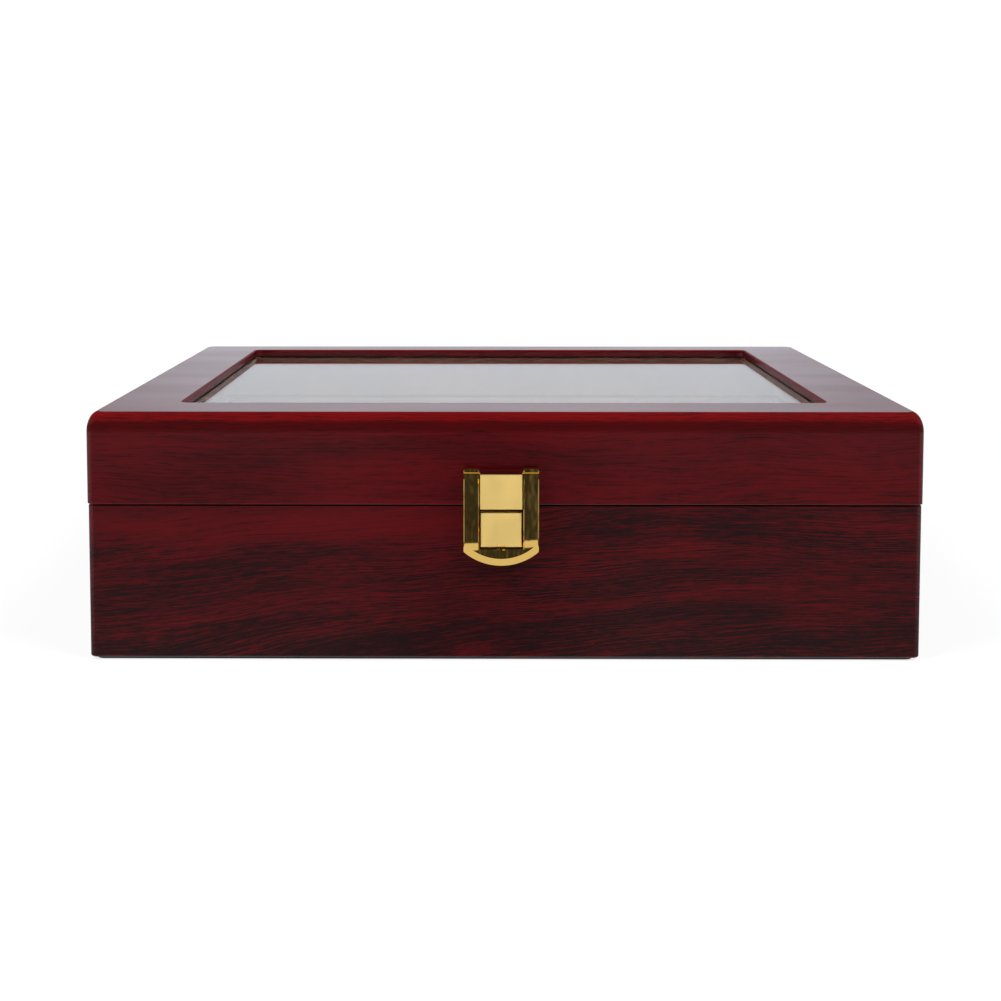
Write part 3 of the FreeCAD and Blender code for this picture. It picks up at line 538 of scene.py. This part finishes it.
def dress_all():
    """Finishes every piece, and returns the flap that stands for its CAD node."""
    gold = gold_plate("polished_gold", GOLD_TONES, POLISHED_ROUGHNESS, POLISHED_UNEVENNESS, DENT_DEPTH)
    satin = gold_plate("satin_gold", SATIN_TONES, SATIN_ROUGHNESS, SATIN_UNEVENNESS, 0.0, red_fold_reflection=True)
    soft = velvet()
    for name in nodes:
        if name.startswith(SOFT_PIECES):
            dress(name, soft)
        elif name.startswith(("hinge", "bead_pins", "latch")):
            dress(name, gold)
    flap = bent_flap(gold)
    for name in ("latch_lid_plate", "latch_catch"):
        dress(name, satin)
    dress("window_glass", clear_glass())
    dress("window_seal", black_seal())
    dress("underside_felt", black_felt())
    board = bare_board()
    dress("base_bottom_panel", board)
    dress("tray_board", board)
    dress_base()
    dress_lid()
    return flap


# ---------------------------------------------------------------- stage, light, camera
def disc(name, radius, rings, spokes):
    """Flat disc on the ground, with its rings closer together towards the middle."""
    shape = bmesh.new()
    centre = shape.verts.new((0, 0, 0))
    previous = None
    for ring in range(1, rings + 1):
        reach = radius * (ring / rings) ** 2
        loop = []
        for spoke in range(spokes):
            angle = 2 * math.pi * spoke / spokes
            loop.append(shape.verts.new((reach * math.cos(angle), reach * math.sin(angle), 0)))
        for spoke in range(spokes):
            following = (spoke + 1) % spokes
            if previous is None:
                shape.faces.new((centre, loop[spoke], loop[following]))
            else:
                shape.faces.new((previous[spoke], loop[spoke], loop[following], previous[following]))
        previous = loop
    return piece_from(shape, name)


def floor():
    """Pale floor that fades into the backdrop's tone far from the object."""
    piece = disc("floor", FLOOR_RADIUS, FLOOR_RINGS, FLOOR_SPOKES)
    material, graph, shader = new_material("pale_floor")
    _, x, y, _ = graph.place()
    squares = graph.math("ADD", graph.math("MULTIPLY", x, x), graph.math("MULTIPLY", y, y))
    distance = graph.math("SQRT", squares)
    fade = graph.ramp(distance, FLOOR_FADE_START, FLOOR_FADE_END, FLOOR_GLOW, 1.0)
    shader.inputs["Base Color"].default_value = FLOOR_COLOUR
    shader.inputs["Roughness"].default_value = 0.9
    shader.inputs["Specular IOR Level"].default_value = 0.0
    glow = graph.node("ShaderNodeEmission", Color=BACKDROP_COLOUR)
    blend = graph.node("ShaderNodeMixShader")
    graph.feed(blend, "0", fade)
    graph.feed(blend, "1", shader.outputs[0])
    graph.feed(blend, "2", glow.outputs[0])
    output = material.node_tree.nodes["Material Output"]
    graph.feed(output, "Surface", blend.outputs[0])
    piece.data.materials.append(material)
    piece.visible_glossy = False


def backdrop():
    """Pale dome that only the camera and the window glass see."""
    shape = bmesh.new()
    bmesh.ops.create_uvsphere(shape, u_segments=64, v_segments=32, radius=BACKDROP_RADIUS)
    piece = piece_from(shape, "backdrop")
    material, graph, _ = new_material("pale_backdrop")
    glow = graph.node("ShaderNodeEmission", Color=BACKDROP_COLOUR)
    graph.feed(material.node_tree.nodes["Material Output"], "Surface", glow.outputs[0])
    piece.data.materials.append(material)
    piece.visible_diffuse = False
    piece.visible_glossy = False
    piece.visible_shadow = False


def studio_light():
    """Soft surround: bright low down behind and from below, dim at the sides, nearly dark elsewhere.

    sideways, forward and up are the parts of the direction that the light comes from.
    """
    world = bpy.data.worlds.new("studio")
    world.use_nodes = True
    bpy.context.scene.world = world
    graph = Graph(world.node_tree)
    split = graph.node("ShaderNodeSeparateXYZ")
    graph.feed(split, "0", graph.node("ShaderNodeTexCoord").outputs["Generated"])
    sideways = graph.math("ABSOLUTE", split.outputs[0])
    forward, up = split.outputs[1], split.outputs[2]
    rearward = graph.ramp(forward, -0.2, 0.5)
    horizon = graph.math("MULTIPLY", graph.ramp(up, -0.02, 0.02),
                         graph.ramp(up, 0.34, 0.06, UPPER_LIGHT, HORIZON_LIGHT))
    behind = graph.math("MULTIPLY", graph.math("MULTIPLY", rearward, horizon),
                        graph.ramp(sideways, 0.14, 0.27, 1.0, OFF_AXIS_SHARE))
    beside = graph.math("MULTIPLY", graph.ramp(up, -0.45, -0.15),
                        graph.ramp(sideways, 0.6, 0.85, 0.0, SIDE_LIGHT))
    below = graph.ramp(up, -0.36, -0.5, 0.0, LIGHT_FROM_BELOW)
    haze = graph.math("MULTIPLY", graph.ramp(up, -0.10, -0.14),
                      graph.ramp(up, -0.20, -0.165, 0.0, HAZE_LIGHT))
    room = graph.math("MAXIMUM", haze, graph.ramp(up, -0.20, -0.34, ROOM_LIGHT, ROOM_FLOOR_LIGHT))
    around = graph.math("MULTIPLY", room, graph.ramp(sideways, 0.01, 0.10, AHEAD_SHARE, 1.0))
    light = behind
    for other in (beside, below, around):
        light = graph.math("MAXIMUM", light, other)
    background = world.node_tree.nodes["Background"]
    graph.feed(background, "Color", graph.mix(rearward, WARM_TINT, COOL_TINT))
    graph.feed(background, "Strength", light)


def soft_box(name, place, size, power, lights_matt_surfaces=True):
    """Rectangular lamp that faces the middle of the object. It lights matt surfaces or only gloss."""
    lamp = bpy.data.lights.new(name, "AREA")
    lamp.shape = "RECTANGLE"
    lamp.size, lamp.size_y = size
    lamp.energy = power
    holder = bpy.data.objects.new(name, lamp)
    bpy.context.scene.collection.objects.link(holder)
    holder.location = place
    direction = Vector(LAMP_AIM) - Vector(place)
    holder.rotation_euler = direction.to_track_quat("-Z", "Y").to_euler()
    holder.visible_diffuse = lights_matt_surfaces
    holder.visible_glossy = not lights_matt_surfaces
    holder.visible_camera = False
    return holder


def mirrored(place, sign):
    """The place itself for sign 1, and its mirror image at the other side for sign -1."""
    return (place[0] * sign, place[1], place[2])


def soft_boxes(flap):
    """Two lamps for the matt surfaces, and two whose gloss only the latch shows."""
    latch = bpy.data.collections.new("latch_pieces")
    latch.objects.link(flap)
    for name in nodes:
        if name.startswith("latch"):
            latch.objects.link(nodes[name])
    for side, sign in (("left", -1), ("right", 1)):
        soft_box("overhead_" + side, mirrored(OVERHEAD_PLACE, sign), OVERHEAD_SIZE, OVERHEAD_POWER)
        shine = soft_box("gloss_" + side, mirrored(GLOSS_PLACE, sign), GLOSS_SIZE, GLOSS_POWER,
                         lights_matt_surfaces=False)
        shine.light_linking.receiver_collection = latch


def camera():
    """Pinhole camera at the photograph's viewing angle."""
    lens = bpy.data.cameras.new("camera")
    lens.sensor_width = SENSOR_MM
    lens.sensor_fit = "HORIZONTAL"
    lens.lens = FOCAL_IN_FRAME_WIDTHS * SENSOR_MM
    lens.shift_x = SHIFT_X
    lens.shift_y = SHIFT_Y
    lens.clip_start = CLIP_NEAR
    lens.clip_end = CLIP_FAR
    holder = bpy.data.objects.new("camera", lens)
    bpy.context.scene.collection.objects.link(holder)
    holder.location = CAMERA_PLACE
    holder.rotation_euler = (math.radians(90 - CAMERA_PITCH_DOWN), 0, math.radians(CAMERA_YAW_LEFT))
    bpy.context.scene.camera = holder


camera()
floor()
backdrop()
studio_light()
bpy.context.scene.view_settings.view_transform = "Standard"
soft_boxes(dress_all())
